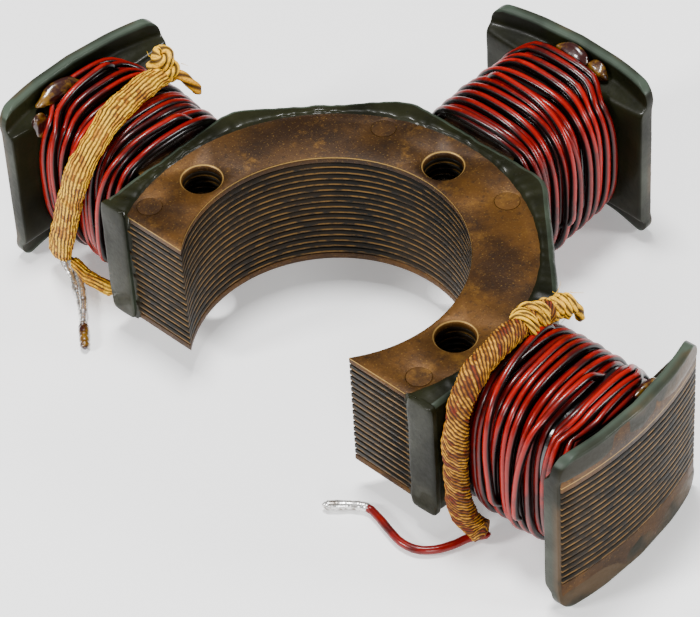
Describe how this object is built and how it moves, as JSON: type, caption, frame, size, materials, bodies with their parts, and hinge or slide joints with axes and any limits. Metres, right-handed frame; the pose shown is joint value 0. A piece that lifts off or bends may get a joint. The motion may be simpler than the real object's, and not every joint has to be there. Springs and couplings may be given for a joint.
{
  "type": "three-pole charging coil",
  "caption": "C-shaped laminated core with three wound poles, curved pole shoes, sleeved winding ends and tinned leads",
  "frame": {"origin": "on the axis of the bore, at the underside of the lamination stack", "axes": "+Z is the bore's axis and the stacking direction, +X points along the middle pole, +Y towards the left pole"},
  "size_m": [0.0849, 0.124, 0.036],
  "materials": {
    "core_steel": "dark varnished sheet-steel edges",
    "plate_steel": "bronze-brown heat-stained and varnished plate",
    "epoxy": "glossy olive-grey epoxy coat",
    "enamelled_wire": "red enamelled copper wire, varnished",
    "braid_yellow": "yellow braided cotton sleeve, varnish-stained",
    "braid_brown": "brown braided sleeve, varnish-stained",
    "tinned_copper": "solder-tinned copper",
    "amber_resin": "amber resin and flux"
  },
  "bodies": {
    "root": {"lamination_01": "core_steel", "lamination_02": "core_steel", "lamination_03": "core_steel", "lamination_04": "core_steel", "lamination_05": "core_steel", "lamination_06": "core_steel", "lamination_07": "core_steel", "lamination_08": "core_steel", "lamination_09": "core_steel", "lamination_10": "core_steel", "lamination_11": "core_steel", "lamination_12": "core_steel", "lamination_13": "core_steel", "lamination_14": "core_steel", "lamination_15": "core_steel", "lamination_16": "core_steel", "end_plate_bottom": "plate_steel", "end_plate_top": "plate_steel", "rivets": "plate_steel", "yoke_coating": "epoxy", "pole_liner_left": "epoxy", "pole_liner_middle": "epoxy", "pole_liner_right": "epoxy", "winding_left": "enamelled_wire", "winding_middle": "enamelled_wire", "winding_right": "enamelled_wire", "crossover_left": "enamelled_wire", "crossover_right": "enamelled_wire", "lead_right": "enamelled_wire", "lead_sleeve_left": "braid_yellow", "lead_sleeve_right": "braid_brown", "tie_knot_left": "braid_yellow", "tie_knot_right": "braid_yellow", "tie_tape_left": "braid_yellow", "lead_left": "tinned_copper", "lead_tip_right": "tinned_copper", "flux_bead_left": "amber_resin", "varnish_beads": "amber_resin"}
  },
  "joints": []
}
